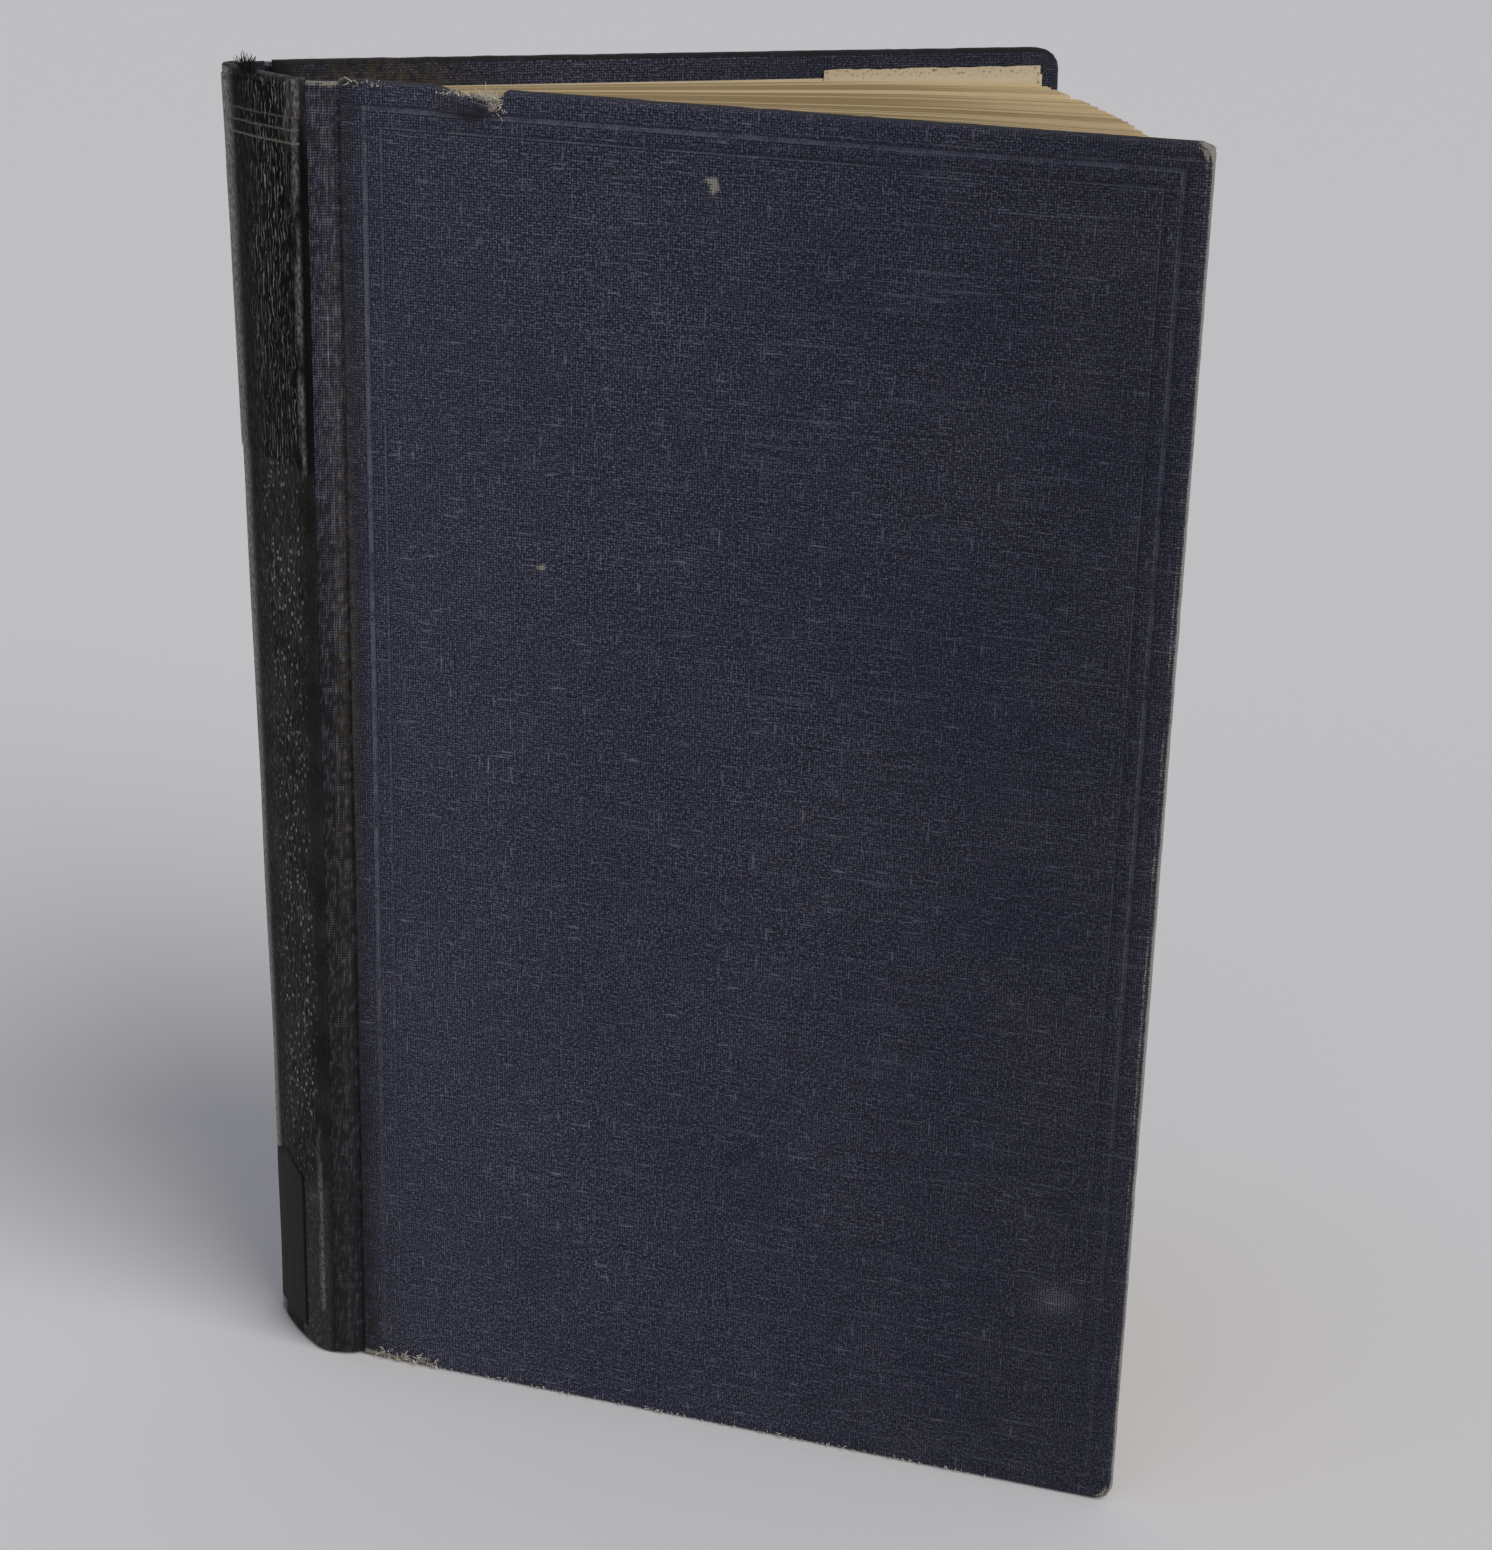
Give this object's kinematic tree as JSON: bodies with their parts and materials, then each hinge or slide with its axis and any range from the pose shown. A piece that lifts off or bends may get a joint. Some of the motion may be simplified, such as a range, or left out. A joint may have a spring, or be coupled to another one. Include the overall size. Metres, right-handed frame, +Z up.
{
  "type": "hardback_book",
  "caption": "Old case-bound hardback book in worn navy cloth with a black grained spine, standing on its tail with the front cover ajar and the leaves fanned",
  "frame": {"origin": "middle of the bounding box, on the plane the book stands on", "axes": "+Z up the spine, +Y from the front cover towards the rear, +X from the spine towards the fore-edge of the front cover"},
  "size_m": [0.1669, 0.1, 0.235],
  "materials": {
    "leaf_paper": "matte",
    "endpaper": "matte",
    "mull_gauze": "matte",
    "lining_paper": "matte",
    "inlay_card": "matte",
    "book_cloth": "matte",
    "grained_covering": "satin",
    "smooth_covering": "satin",
    "label_tape": "matte",
    "cover_board": "matte",
    "slip_paper": "matte"
  },
  "bodies": {
    "root": {"text_block": "leaf_paper", "front_flyleaf": "endpaper", "rear_flyleaf": "endpaper", "mull": "mull_gauze", "spine_lining": "lining_paper", "spine_inlay": "inlay_card", "spine_cloth": "book_cloth", "spine_covering": "grained_covering", "title_label": "smooth_covering", "tail_label": "label_tape"},
    "front_cover": {"front_board": "cover_board", "front_cloth": "book_cloth", "front_pastedown": "endpaper"},
    "rear_cover": {"rear_board": "cover_board", "rear_cloth": "book_cloth", "rear_pastedown": "endpaper", "rear_slip": "slip_paper"}
  },
  "joints": [
    {"name": "front_cover_hinge", "type": "hinge", "parent": "root", "child": "front_cover", "pos_m": [-0.05923, -0.04856, 0.1175], "axis": [0, 0, -1], "range_deg": [-13.8, 143.5]},
    {"name": "rear_cover_hinge", "type": "hinge", "parent": "root", "child": "rear_cover", "pos_m": [-0.0788, -0.03266, 0.1175], "axis": [0, 0, 1], "range_deg": [0, 178]}
  ]
}
